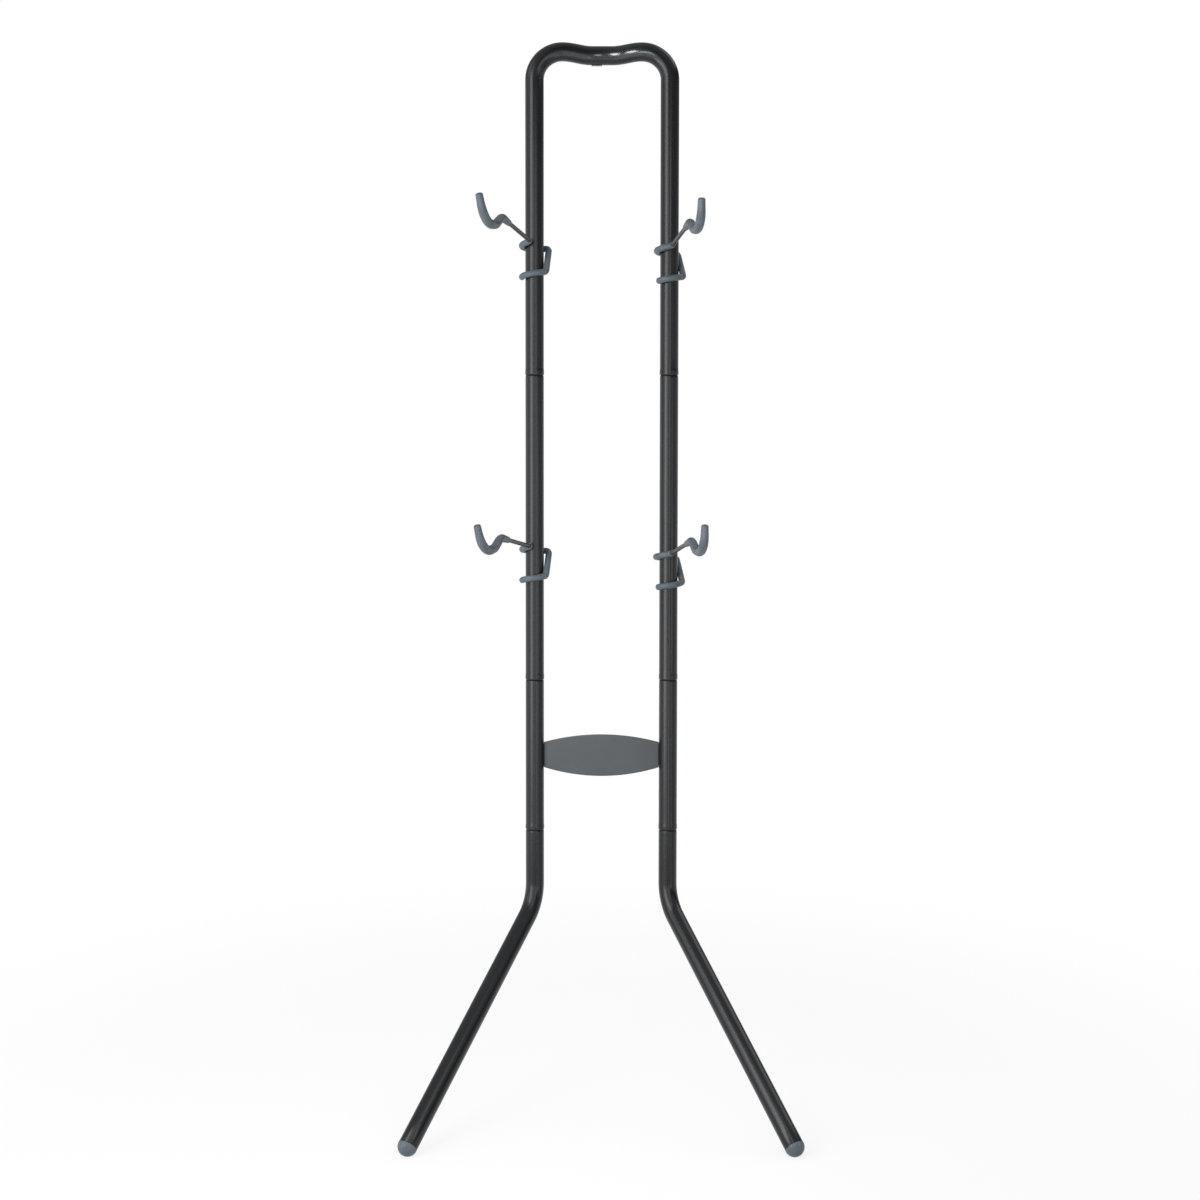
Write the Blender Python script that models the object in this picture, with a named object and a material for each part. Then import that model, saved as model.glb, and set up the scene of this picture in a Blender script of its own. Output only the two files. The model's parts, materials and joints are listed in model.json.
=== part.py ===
# Gravity bike stand: two leaning uprights joined by an arch and a brace plate, two splayed
# legs, and four rod arms that grip the uprights with two loops each.
# Metres, +Z up. The stand faces -Y and leans back towards a wall on its +Y side. The origin
# is on the floor, below the middle of the stand's width and depth.

from math import acos, asin, atan2, ceil, cos, pi, radians, sin, sqrt, tan

import bmesh
import bpy
import numpy as np
from mathutils import Matrix, Quaternion, Vector

# Tube stock
TUBE_RADIUS = 0.019
TUBE_WALL = 0.0015
TUBE_SIDES = 20
GAP = 0.0003  # kept between two pieces that touch

# Uprights, measured along their leaning axis
UPRIGHT_SPACING = 0.2775  # axis to axis
LEAN = radians(3)
STUB_LENGTH = 0.152  # leg's bend corner to the lowest joint
SHORT_TUBE_LENGTH = 0.314
STRAIGHT_TUBE_LENGTH = 0.630
ARCH_HEIGHT = 0.6585  # highest joint to the arch's centreline at its shoulders
ARCH_CORNER_RADIUS = 0.057
ARCH_DIP = 0.0078
ARCH_DIP_FLOOR = 0.040  # length of the dip's level bottom
ARCH_BAR_STEPS = 14

# Slip joints: each tube's reduced top end goes up into the tube above
SPIGOT_LENGTH = 0.038
SPIGOT_LEAD = 0.003
SHOULDER_LENGTH = 0.0025
SHOULDER_INSIDE = 0.005
BELL_SWELL = 0.0005
BELL_LENGTH = 0.014
LIP_BEVEL = 0.001

# Legs, from the bend corner to the middle of the foot
LEG_SPLAY = 0.230
LEG_REACH = 0.410
LEG_DROP = 0.369
LEG_BEND_RADIUS = 0.090

# Foot caps: a domed head with a flat worn on it, and a plug inside the leg
CAP_HEAD_RADIUS = 0.0194
CAP_DOME_STEPS = 7
CAP_FLAT_DEPTH = 0.0011
CAP_PLUG_LENGTH = 0.020
CAP_PLUG_LEAD = 0.0025

# Brace plate between the short tubes
PLATE_MIDDLE_HEIGHT = 0.087
PLATE_END_HEIGHT = 0.053
PLATE_THICKNESS = 0.003
PLATE_BOW = 0.009
PLATE_COLUMNS = 16
WELD_LEG = 0.0045
WELD_FACE = ((0.70, 0.55), (0.35, 0.85))  # points on the bead's face, as shares of its leg
WELD_SETBACK = 0.003  # of the bead's ends from the plate's corners

# Wall bumper on the back of the top bar, left of its middle
BUMPER_WIDTH = 0.021
BUMPER_LEFT_SET = 0.0112
BUMPER_COLUMNS = 4
BUMPER_SHELL = 0.0016
BUMPER_PAD = 0.0045
BUMPER_LOW_ANGLE = radians(-100)
BUMPER_HIGH_ANGLE = radians(55)
BUMPER_PAD_HALF_HEIGHT = 0.010

# Arms: a bent rod with a soft sleeve on its hook and another on its two loops
ROD_RADIUS = 0.0044
ROD_SIDES = 8
BEND_STEP = radians(18)
GRIP_RADIUS = 0.0065
SLEEVE_MOUTH_LENGTH = 0.0011
SLEEVE_MOUTH_SHARE = 0.6  # of the sleeve's wall that is left at its mouth
SLEEVE_END_LENGTH = 0.0022
SLEEVE_END_STEPS = ((0.7, 0.90), (1.0, 0.65))  # (share of that length, share of the last radius)

# Hook, from the hump outwards. Heights are over the upper loop's side.
HUMP_REACH = 0.1977  # from the upright's axis
HUMP_HEIGHT = 0.0353
HUMP_RADIUS = 0.0345
HUMP_TO_CRADLE = 0.033
CRADLE_INNER_HEIGHT = 0.0168
CRADLE_INNER_RADIUS = 0.033
CRADLE_WIDTH = 0.062  # between the cradle's two bends
CRADLE_OUTER_HEIGHT = 0.009
CRADLE_OUTER_RADIUS = 0.054
TIP_LEAN = 0.0208  # how far the tip leans out past the cradle's outer bend
TIP_HEIGHT = 0.0642
TIP_LEFT_SET = 0.0035

# Hook sleeve: it starts inside the hump, is thickest at the cradle and thins towards both ends
SLEEVE_PAST_HUMP = 0.0412
SLEEVE_TIP_RADIUS = 0.0072
SLEEVE_RISING_RADIUS = 0.0090
SLEEVE_CRADLE_RADIUS = 0.0091
SLEEVE_HUMP_RADIUS = 0.0082
SLEEVE_MOUTH_RADIUS = 0.0065

# Loops: the rod turns left, passes behind the upright, drops, and crosses its front
ENTRY_HEIGHT = 0.0097
ENTRY_BEND_RADIUS = 0.009
UPPER_LOOP_DROP = 0.0114
LINK_DROP = 0.0508
LINK_PLAN_ANGLE = radians(8.4)
LINK_FOOT_FORWARD = 0.008
LINK_BEND_RADIUS = 0.008
LOWER_LOOP_SLOPE = 0.146
LOWER_LOOP_END = radians(-160)

SIDES = ((-1, "left"), (1, "right"))
RIGHT = Vector((1, 0, 0))

# Rest setting of each arm: side, height over the joint below it, swivel from straight ahead,
# and how far its rod is sprung up from square
UPPER_LEFT_HEIGHT = 0.2630
UPPER_RIGHT_HEIGHT = 0.2545
LOWER_LEFT_HEIGHT = 0.2690
LOWER_RIGHT_HEIGHT = 0.2555
ARMS = {
    "upper_left": (-1, UPPER_LEFT_HEIGHT, radians(-17.1), radians(-0.2)),
    "upper_right": (1, UPPER_RIGHT_HEIGHT, radians(9.8), radians(-0.6)),
    "lower_left": (-1, LOWER_LEFT_HEIGHT, radians(-18.0), radians(-1.7)),
    "lower_right": (1, LOWER_RIGHT_HEIGHT, radians(11.5), radians(1.2)),
}

BORE_RADIUS = TUBE_RADIUS - TUBE_WALL
PLUG_RADIUS = BORE_RADIUS * cos(pi / TUBE_SIDES) - GAP  # turns freely inside the bore's flats
SPIGOT_RADIUS = PLUG_RADIUS
JOINT_3 = STUB_LENGTH
JOINT_2 = JOINT_3 + SHORT_TUBE_LENGTH
JOINT_1 = JOINT_2 + STRAIGHT_TUBE_LENGTH
PLATE_PLACE = (JOINT_2 + JOINT_3) / 2
CRADLE_INNER_REACH = HUMP_REACH + HUMP_TO_CRADLE
CRADLE_OUTER_REACH = CRADLE_INNER_REACH + CRADLE_WIDTH
TIP_REACH = CRADLE_OUTER_REACH + TIP_LEAN
HUMP_CORNER = Vector((HUMP_REACH, HUMP_HEIGHT))
HOOK_SLEEVE_RADII = (  # (share of the way from the tip to the sleeve's mouth, radius)
    (0.0, SLEEVE_TIP_RADIUS),
    (0.25, SLEEVE_RISING_RADIUS),
    (0.5, SLEEVE_CRADLE_RADIUS),
    (0.8, SLEEVE_HUMP_RADIUS),
    (1.0, SLEEVE_MOUTH_RADIUS),
)
PLATE_HALF_LENGTH = UPRIGHT_SPACING / 2 - TUBE_RADIUS - GAP
FOOT_HEIGHT = CAP_HEAD_RADIUS - CAP_FLAT_DEPTH
CORNER_HEIGHT = FOOT_HEIGHT + LEG_DROP
BAR_PLACE = JOINT_1 + ARCH_HEIGHT
WALL_REACH = (BAR_PLACE - ARCH_DIP) * sin(LEAN) + TUBE_RADIUS + GAP + BUMPER_PAD
CORNER_Y = (LEG_REACH + CAP_HEAD_RADIUS - WALL_REACH) / 2
LOOP_RADIUS = (TUBE_RADIUS + GRIP_RADIUS + GAP) / cos(BEND_STEP / 2)


def material(name, colour, roughness, metallic):
    made = bpy.data.materials.new(name)
    made.use_nodes = True
    made.diffuse_color = (*colour, 1)
    shader = made.node_tree.nodes["Principled BSDF"]
    shader.inputs["Base Color"].default_value = (*colour, 1)
    shader.inputs["Roughness"].default_value = roughness
    shader.inputs["Metallic"].default_value = metallic
    return made


def add_empty(name, location, rotation=(0, 0, 0), parent=None):
    empty = bpy.data.objects.new(name, None)
    empty.location = location
    empty.rotation_euler = rotation
    empty.parent = parent
    empty.empty_display_size = 0.05
    bpy.context.scene.collection.objects.link(empty)
    return empty


def add_piece(name, mesh, finish, parent=None, location=(0, 0, 0), rotation=(0, 0, 0)):
    piece = bpy.data.objects.new(name, mesh)
    piece.location = location
    piece.rotation_euler = rotation
    piece.parent = parent
    if not mesh.materials:
        mesh.materials.append(finish)
    bpy.context.scene.collection.objects.link(piece)
    return piece


def finished_mesh(name, bm, sharp_over=radians(40)):
    bmesh.ops.recalc_face_normals(bm, faces=bm.faces)
    mesh = bpy.data.meshes.new(name)
    bm.to_mesh(mesh)
    bm.free()
    mesh.shade_smooth()
    mesh.set_sharp_from_angle(angle=sharp_over)
    return mesh


def skin(name, sections, closed):
    """A mesh over a row of sections, each a loop of points. It joins up end to end or is capped."""
    bm = bmesh.new()
    loops = [[bm.verts.new(point) for point in section] for section in sections]
    if closed:
        loops.append(loops[0])
    else:
        bm.faces.new(loops[0])
        bm.faces.new(loops[-1])
    for near, far in zip(loops, loops[1:]):
        for i in range(len(near)):
            bm.faces.new((near[i - 1], near[i], far[i], far[i - 1]))
    return finished_mesh(name, bm)


def rounded(corners):
    """(point, direction) pairs along straight runs joined by arcs. Each corner is (point, radius)."""
    points = [corner for corner, _ in corners]
    stations = [(points[0], (points[1] - points[0]).normalized())]
    for before, (corner, radius), after in zip(points, corners[1:], points[2:]):
        inward = (corner - before).normalized()
        outward = (after - corner).normalized()
        turn = inward.angle(outward)
        axis = inward.cross(outward).normalized()
        arm = inward.cross(axis) * radius
        centre = corner - inward * radius * tan(turn / 2) - arm
        steps = ceil(turn / BEND_STEP)
        for step in range(steps + 1):
            spin = Quaternion(axis, turn * step / steps)
            stations.append((centre + spin @ arm, spin @ inward))
    stations.append((points[-1], (points[-1] - points[-2]).normalized()))
    return stations


def framed(stations, across):
    """Adds a side vector to each station, carried along the path without twist."""
    direction = stations[0][1]
    side = (across - direction * across.dot(direction)).normalized()
    frames = []
    for point, heading in stations:
        side = direction.rotation_difference(heading) @ side
        direction = heading
        frames.append((point, heading, side))
    return frames


def ring(frame, radius, sides):
    point, heading, side = frame
    up = heading.cross(side)
    angles = [2 * pi * (i + 0.5) / sides for i in range(sides)]
    return [point + (side * cos(a) + up * sin(a)) * radius for a in angles]


def moved(frame, distance):
    point, heading, side = frame
    return point + heading * distance, heading, side


def lengths_of(frames):
    """How far along the path each frame lies."""
    total = [0.0]
    for (a, _, _), (b, _, _) in zip(frames, frames[1:]):
        total.append(total[-1] + (b - a).length)
    return total


def bell_end(frame, inwards):
    """Outer rings of a tube's lower end, from its lip up. inwards is 1 or -1 along the path."""
    sizes = (
        (GAP / 2, TUBE_RADIUS - LIP_BEVEL),
        (SHOULDER_LENGTH, TUBE_RADIUS + BELL_SWELL),
        (BELL_LENGTH / 2, TUBE_RADIUS + BELL_SWELL),
        (BELL_LENGTH, TUBE_RADIUS),
    )
    return [ring(moved(frame, inwards * at), radius, TUBE_SIDES) for at, radius in sizes]


def spigot_end(frame):
    """Outer and inner rings of a tube's reduced top end, from its tip down. The path runs downwards."""
    outer = (
        (-SPIGOT_LENGTH, SPIGOT_RADIUS - TUBE_WALL / 2),
        (SPIGOT_LEAD - SPIGOT_LENGTH, SPIGOT_RADIUS),
        (GAP / 2, SPIGOT_RADIUS),
        (GAP / 2, BORE_RADIUS),
        (SHOULDER_LENGTH, TUBE_RADIUS),
    )
    inner = (
        (-SPIGOT_LENGTH, SPIGOT_RADIUS - TUBE_WALL),
        (GAP / 2, SPIGOT_RADIUS - TUBE_WALL),
        (SHOULDER_INSIDE, BORE_RADIUS),
    )
    return (
        [ring(moved(frame, at), radius, TUBE_SIDES) for at, radius in outer],
        [ring(moved(frame, at), radius, TUBE_SIDES) for at, radius in inner],
    )


def tube_rings(frames, radius):
    return [ring(frame, radius, TUBE_SIDES) for frame in frames]


def section_mesh(name, length):
    """A straight tube with a spigot at its top and a bell at its foot, standing on its own origin."""
    down = Vector((0, 0, -1))
    stations = [(Vector((0, 0, length)), down), (Vector((0, 0, 0)), down)]
    top, foot = framed(stations, RIGHT)
    spigot_outer, spigot_inner = spigot_end(top)
    outer = spigot_outer + bell_end(foot, -1)[::-1]
    inner = spigot_inner + tube_rings([moved(foot, -GAP / 2)], BORE_RADIUS)
    return skin(name, outer + inner[::-1], closed=True)


def bar_line(x):
    """Height and slope of the top bar's centreline, over the highest joint. Its dip has a level bottom."""
    side = UPRIGHT_SPACING / 2 - ARCH_CORNER_RADIUS - ARCH_DIP_FLOOR / 2
    turn = pi * max(0.0, abs(x) - ARCH_DIP_FLOOR / 2) / side
    slope = ARCH_DIP * pi / side * sin(turn) / 2
    return ARCH_HEIGHT - ARCH_DIP * (1 + cos(turn)) / 2, slope if x > 0 else -slope


def arch_mesh(name):
    half = UPRIGHT_SPACING / 2
    flat = half - ARCH_CORNER_RADIUS
    shoulder = Vector((-flat, 0, ARCH_HEIGHT))
    corner = Vector((-half, 0, ARCH_HEIGHT))
    left = rounded([(Vector((-half, 0, 0)), 0), (corner, ARCH_CORNER_RADIUS), (shoulder, 0)])
    bar = []
    for step in range(1, ARCH_BAR_STEPS):
        x = flat * (2 * step / ARCH_BAR_STEPS - 1)
        height, slope = bar_line(x)
        bar.append((Vector((x, 0, height)), Vector((1, 0, slope)).normalized()))
    flip = Matrix.Diagonal((-1, 1, 1))
    right = [(flip @ point, -(flip @ heading)) for point, heading in left[:-1][::-1]]
    frames = framed(left[:-1] + bar + right, Vector((0, 1, 0)))
    plain = frames[1:-1]
    outer = bell_end(frames[0], 1) + tube_rings(plain, TUBE_RADIUS) + bell_end(frames[-1], -1)[::-1]
    ends = [moved(frames[0], GAP / 2), *plain, moved(frames[-1], -GAP / 2)]
    return skin(name, outer + tube_rings(ends, BORE_RADIUS)[::-1], closed=True)


def leg_path(side):
    """From the lowest joint down the stub, round the bend and out to the foot, in the leaning frame."""
    foot = Vector((side * LEG_SPLAY, -LEG_REACH, -LEG_DROP))
    foot.rotate(Quaternion((1, 0, 0), LEAN))
    start = Vector((0, 0, STUB_LENGTH))
    return framed(
        rounded([(start, 0), (Vector((0, 0, 0)), LEG_BEND_RADIUS), (foot, 0)]),
        RIGHT,
    )


def leg_mesh(name, side):
    frames = leg_path(side)
    spigot_outer, spigot_inner = spigot_end(frames[0])
    outer = spigot_outer + tube_rings(frames[1:], TUBE_RADIUS)
    inner = spigot_inner + tube_rings(frames[1:], BORE_RADIUS)
    return skin(name, outer + inner[::-1], closed=True)


def cap_mesh(name, frame, to_world):
    """Domed cap on a leg's end, with the flat that rests on the floor."""
    sizes = [
        (-CAP_PLUG_LENGTH, PLUG_RADIUS - CAP_PLUG_LEAD / 2),
        (CAP_PLUG_LEAD - CAP_PLUG_LENGTH, PLUG_RADIUS),
        (GAP, PLUG_RADIUS),
        (GAP, CAP_HEAD_RADIUS),
    ]
    for step in range(1, CAP_DOME_STEPS):
        lift = pi / 2 * step / CAP_DOME_STEPS
        sizes.append((GAP + CAP_HEAD_RADIUS * sin(lift), CAP_HEAD_RADIUS * cos(lift)))
    rings = [ring(moved(frame, at), radius, TUBE_SIDES) for at, radius in sizes]
    mesh = skin(name, rings, closed=False)
    bm = bmesh.new()
    bm.from_mesh(mesh)
    bm.transform(to_world)
    everything = bm.verts[:] + bm.edges[:] + bm.faces[:]
    cut = bmesh.ops.bisect_plane(
        bm, geom=everything, plane_co=(0, 0, 0), plane_no=(0, 0, -1), clear_outer=True
    )
    rim = [item for item in cut["geom_cut"] if isinstance(item, bmesh.types.BMEdge)]
    bmesh.ops.contextual_create(bm, geom=rim)
    bm.transform(to_world.inverted())
    return finished_mesh(name, bm)


def plate_front(x):
    """How far the bowed plate's middle surface stands in front of the uprights' plane."""
    return PLATE_BOW * (1 - (x / PLATE_HALF_LENGTH) ** 2)


def plate_mesh(name):
    """Bowed plate whose top and bottom edges are arcs, tallest in the middle."""
    rise = (PLATE_MIDDLE_HEIGHT - PLATE_END_HEIGHT) / 2
    edge_radius = (PLATE_HALF_LENGTH**2 + rise**2) / (2 * rise)
    sections = []
    for column in range(PLATE_COLUMNS + 1):
        x = PLATE_HALF_LENGTH * (2 * column / PLATE_COLUMNS - 1)
        height = PLATE_MIDDLE_HEIGHT / 2 - edge_radius + sqrt(edge_radius**2 - x**2)
        front = -plate_front(x) - PLATE_THICKNESS / 2
        back = front + PLATE_THICKNESS
        corners = ((front, height), (front, -height), (back, -height), (back, height))
        sections.append([Vector((x, y, z)) for y, z in corners])
    return skin(name, sections, closed=False)


def weld_mesh(name, side):
    """Fillet bead behind the plate's end, in the corner that it makes with the short tube."""
    clear = TUBE_RADIUS + GAP
    near = PLATE_THICKNESS / 2 + GAP
    far = near + WELD_LEG
    on_tube = sqrt(clear**2 - far**2)
    in_corner = sqrt(clear**2 - near**2)
    outline = [(in_corner, near), (in_corner + WELD_LEG, near)]
    outline += [(in_corner + WELD_LEG * a, near + WELD_LEG * b) for a, b in WELD_FACE]
    outline.append((on_tube, far))
    length = PLATE_END_HEIGHT / 2 - WELD_SETBACK
    ends = [[Vector((-side * x, y, z)) for x, y in outline] for z in (-length, length)]
    return skin(name, ends, closed=False)


def bumper_mesh(name):
    """Rubber saddle on the back of the top bar, with a flat pad that meets the wall upright."""
    inner = TUBE_RADIUS + GAP
    outer = inner + BUMPER_SHELL
    pad_angle = asin(BUMPER_PAD_HALF_HEIGHT / outer)
    sweep = BUMPER_HIGH_ANGLE - BUMPER_LOW_ANGLE
    steps = ceil(sweep / BEND_STEP)
    angles = [BUMPER_LOW_ANGLE + sweep * i / steps for i in range(steps + 1)]
    below = [Vector((0, cos(a), sin(a))) * outer for a in angles if a < -pad_angle]
    above = [Vector((0, cos(a), sin(a))) * outer for a in angles if a > pad_angle]
    hollow = [Vector((0, cos(a), sin(a))) * inner for a in reversed(angles)]
    heights = (-BUMPER_PAD_HALF_HEIGHT, BUMPER_PAD_HALF_HEIGHT)
    upright = Matrix.Rotation(LEAN, 3, "X")
    pad = [upright @ Vector((0, inner + BUMPER_PAD, z)) for z in heights]
    sections = []
    for column in range(BUMPER_COLUMNS + 1):
        x = BUMPER_WIDTH * (column / BUMPER_COLUMNS - 0.5) - BUMPER_LEFT_SET
        bar = Vector((x, 0, bar_line(x)[0]))
        level = Vector((x, 0, ARCH_HEIGHT - ARCH_DIP))
        section = [point + bar for point in below]
        section += [point + level for point in pad]
        section += [point + bar for point in above + hollow]
        sections.append(section)
    return skin(name, sections, closed=False)


def hook_path(rise):
    """Tip, cradle and hump, then the straight rod in to the hook sleeve's open end."""
    entry = Vector((entry_reach(), ENTRY_HEIGHT))
    slope = (HUMP_CORNER - entry).normalized()
    end = HUMP_CORNER - slope * SLEEVE_PAST_HUMP / slope.x
    corners = (
        (Vector((TIP_REACH, TIP_HEIGHT)), 0),
        (Vector((CRADLE_OUTER_REACH, CRADLE_OUTER_HEIGHT)), CRADLE_OUTER_RADIUS),
        (Vector((CRADLE_INNER_REACH, CRADLE_INNER_HEIGHT)), CRADLE_INNER_RADIUS),
        (HUMP_CORNER, HUMP_RADIUS),
        (end, 0),
    )
    sprung = Matrix.Rotation(rise, 2)
    flat = [(entry + sprung @ (corner - entry), radius) for corner, radius in corners]
    placed = [(Vector((0, -corner.x, corner.y)), radius) for corner, radius in flat]
    placed[0][0].x = -TIP_LEFT_SET
    return rounded(placed)


def entry_reach():
    """Distance of the entry bend's start from the upright's axis."""
    return sqrt((LOOP_RADIUS + ENTRY_BEND_RADIUS) ** 2 - ENTRY_BEND_RADIUS**2)


def upper_loop_path():
    """Entry bend to the left, then round the upright's left side to its back."""
    meet = asin(ENTRY_BEND_RADIUS / (LOOP_RADIUS + ENTRY_BEND_RADIUS))
    entry_turn = pi / 2 - meet
    loop_turn = pi - meet
    entry_length = ENTRY_BEND_RADIUS * entry_turn
    total = entry_length + LOOP_RADIUS * loop_turn
    plan = []
    steps = ceil(entry_turn / BEND_STEP)
    for step in range(steps):
        a = entry_turn * step / steps
        point = Vector((ENTRY_BEND_RADIUS * (cos(a) - 1), ENTRY_BEND_RADIUS * sin(a) - entry_reach()))
        plan.append((ENTRY_BEND_RADIUS * a, point, Vector((-sin(a), cos(a)))))
    steps = ceil(loop_turn / BEND_STEP)
    for step in range(steps + 1):
        turned = loop_turn * step / steps
        a = -pi / 2 - meet - turned
        point = Vector((cos(a), sin(a))) * LOOP_RADIUS
        plan.append((entry_length + LOOP_RADIUS * turned, point, Vector((sin(a), -cos(a)))))
    stations = []
    for along, point, heading in plan:
        left = 1 - along / total
        height = ENTRY_HEIGHT - UPPER_LOOP_DROP * (1 - left**2)
        fall = -2 * UPPER_LOOP_DROP * left / total
        stations.append((Vector((*point, height)), Vector((*heading, fall)).normalized()))
    return stations


def lower_loop_path(start):
    """Link down the upright's right side from the back, then round its front."""
    back = start[0]
    line = LOOP_RADIUS + GAP  # the link passes the upright at this distance
    head_x = (line - LOOP_RADIUS * sin(LINK_PLAN_ANGLE)) / cos(LINK_PLAN_ANGLE)
    foot_x = (line + LINK_FOOT_FORWARD * sin(LINK_PLAN_ANGLE)) / cos(LINK_PLAN_ANGLE)
    head = Vector((head_x, LOOP_RADIUS, back.z))
    foot = Vector((foot_x, -LINK_FOOT_FORWARD, back.z - LINK_DROP))
    away = foot.xy.length
    meet = atan2(foot.y, foot.x) - acos(LOOP_RADIUS / away)
    run = sqrt(away**2 - LOOP_RADIUS**2)
    touch = Vector((cos(meet), sin(meet))) * LOOP_RADIUS
    touch = Vector((*touch, foot.z - LOWER_LOOP_SLOPE * run))
    link = rounded([(back, 0), (head, LINK_BEND_RADIUS), (foot, LINK_BEND_RADIUS), (touch, 0)])
    turn = meet - LOWER_LOOP_END
    steps = ceil(turn / BEND_STEP)
    loop = []
    for step in range(1, steps + 1):
        a = meet - turn * step / steps
        height = touch.z - LOWER_LOOP_SLOPE * LOOP_RADIUS * (meet - a)
        heading = Vector((sin(a), -cos(a), -LOWER_LOOP_SLOPE)).normalized()
        loop.append((Vector((LOOP_RADIUS * cos(a), LOOP_RADIUS * sin(a), height)), heading))
    return link[1:] + loop


def sleeve_mesh(name, frames, radii, closed_first):
    """Soft sleeve over part of the rod, open at its mouth and closed by a rounded end."""
    bore = ROD_RADIUS + GAP
    if closed_first:
        frames = [(point, -heading, side) for point, heading, side in frames[::-1]]
        radii = radii[::-1]
    mouth, end = frames[0], frames[-1]
    outer = [ring(mouth, bore + SLEEVE_MOUTH_SHARE * (radii[0] - bore), ROD_SIDES)]
    outer.append(ring(moved(mouth, SLEEVE_MOUTH_LENGTH), radii[0], ROD_SIDES))
    outer += [ring(frame, radius, ROD_SIDES) for frame, radius in zip(frames[1:], radii[1:])]
    for at, share in SLEEVE_END_STEPS:
        outer.append(ring(moved(end, at * SLEEVE_END_LENGTH), share * radii[-1], ROD_SIDES))
    inner = [ring(frame, bore, ROD_SIDES) for frame in frames]
    inner.append(ring(moved(end, GAP), bore, ROD_SIDES))
    return skin(name, inner[::-1] + outer, closed=False)


def arm_meshes(rise):
    hook = hook_path(rise)
    upper = upper_loop_path()
    loops = upper + lower_loop_path(upper[-1])
    frames = framed(hook + loops, RIGHT)
    rod = [ring(frame, ROD_RADIUS, ROD_SIDES) for frame in frames]
    over_hook = frames[: len(hook)]
    over_loops = frames[len(hook):]
    along = lengths_of(over_hook)
    shares, sizes = zip(*HOOK_SLEEVE_RADII)
    hook_radii = [float(np.interp(at / along[-1], shares, sizes)) for at in along]
    grip_radii = [GRIP_RADIUS] * len(over_loops)
    return {
        "rod": skin("arm_rod", rod, closed=False),
        "hook_sleeve": sleeve_mesh("hook_sleeve", over_hook, hook_radii, closed_first=True),
        "grip_sleeve": sleeve_mesh("grip_sleeve", over_loops, grip_radii, closed_first=False),
    }


def add_frame_tubes(lean_frame, black):
    """Arch, straight tubes, short tubes and legs. Returns the pieces that carry arms."""
    arch = add_piece("top_arch", arch_mesh("top_arch"), black, lean_frame, (0, 0, JOINT_1))
    carriers = {"upper": arch}
    straight = section_mesh("straight_tube", STRAIGHT_TUBE_LENGTH)
    short = section_mesh("short_tube", SHORT_TUBE_LENGTH)
    for side, word in SIDES:
        x = side * UPRIGHT_SPACING / 2
        straight_place = (x, 0, JOINT_2)
        straight_tube = add_piece(f"straight_tube_{word}", straight, black, lean_frame, straight_place)
        carriers[word] = straight_tube
        add_piece(f"short_tube_{word}", short, black, lean_frame, (x, 0, JOINT_3))
        add_piece(f"leg_{word}", leg_mesh("leg", side), black, lean_frame, (x, 0, 0))
    return carriers


def add_foot_caps(lean_frame, rubber):
    for side, word in SIDES:
        place = Vector((side * UPRIGHT_SPACING / 2, 0, 0))
        to_world = Matrix.Translation((0, CORNER_Y, CORNER_HEIGHT)) @ Matrix.Rotation(-LEAN, 4, "X")
        to_world = to_world @ Matrix.Translation(place)
        mesh = cap_mesh("foot_cap", leg_path(side)[-1], to_world)
        add_piece(f"foot_cap_{word}", mesh, rubber, lean_frame, place)


def add_brace(lean_frame, grey, black):
    plate = add_piece("brace_plate", plate_mesh("brace_plate"), grey, lean_frame, (0, 0, PLATE_PLACE))
    for side, word in SIDES:
        place = (side * UPRIGHT_SPACING / 2, 0, 0)
        add_piece(f"plate_weld_{word}", weld_mesh("plate_weld", side), black, plate, place)


def add_arms(carriers, steel, rubber):
    for arm, (side, height, swivel, rise) in ARMS.items():
        meshes = arm_meshes(rise)
        level, word = arm.split("_")
        carrier = carriers["upper"] if level == "upper" else carriers[word]
        x = side * UPRIGHT_SPACING / 2 if level == "upper" else 0
        axis = add_empty(f"{arm}_arm_axis", (x, 0, height), (0, 0, swivel), carrier)
        add_piece(f"{arm}_arm_rod", meshes["rod"], steel, axis)
        add_piece(f"{arm}_hook_sleeve", meshes["hook_sleeve"], rubber, axis)
        add_piece(f"{arm}_grip_sleeve", meshes["grip_sleeve"], rubber, axis)


def main():
    for old in list(bpy.data.objects):
        bpy.data.objects.remove(old, do_unlink=True)
    black = material("charcoal_coating", (0.035, 0.036, 0.038), 0.35, 0.2)
    grey = material("grey_coating", (0.115, 0.127, 0.135), 0.5, 0.2)
    steel = material("rod_steel", (0.09, 0.09, 0.09), 0.45, 0.8)
    rubber = material("blue_grey_rubber", (0.12, 0.16, 0.19), 0.55, 0.0)
    lean_frame = add_empty("lean_frame", (0, CORNER_Y, CORNER_HEIGHT), (-LEAN, 0, 0))
    carriers = add_frame_tubes(lean_frame, black)
    add_foot_caps(lean_frame, rubber)
    add_brace(lean_frame, grey, black)
    add_piece("wall_bumper", bumper_mesh("wall_bumper"), rubber, lean_frame, (0, 0, JOINT_1))
    add_arms(carriers, steel, rubber)


main()
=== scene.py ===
# Gravity bike stand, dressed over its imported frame. Metres, +Z up, and the stand faces -Y.

import json
from math import acos, asin, atan2, ceil, cos, degrees, pi, radians, sin, sqrt, tan

import bmesh
import bpy
from mathutils import Matrix, Quaternion, Vector


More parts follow.
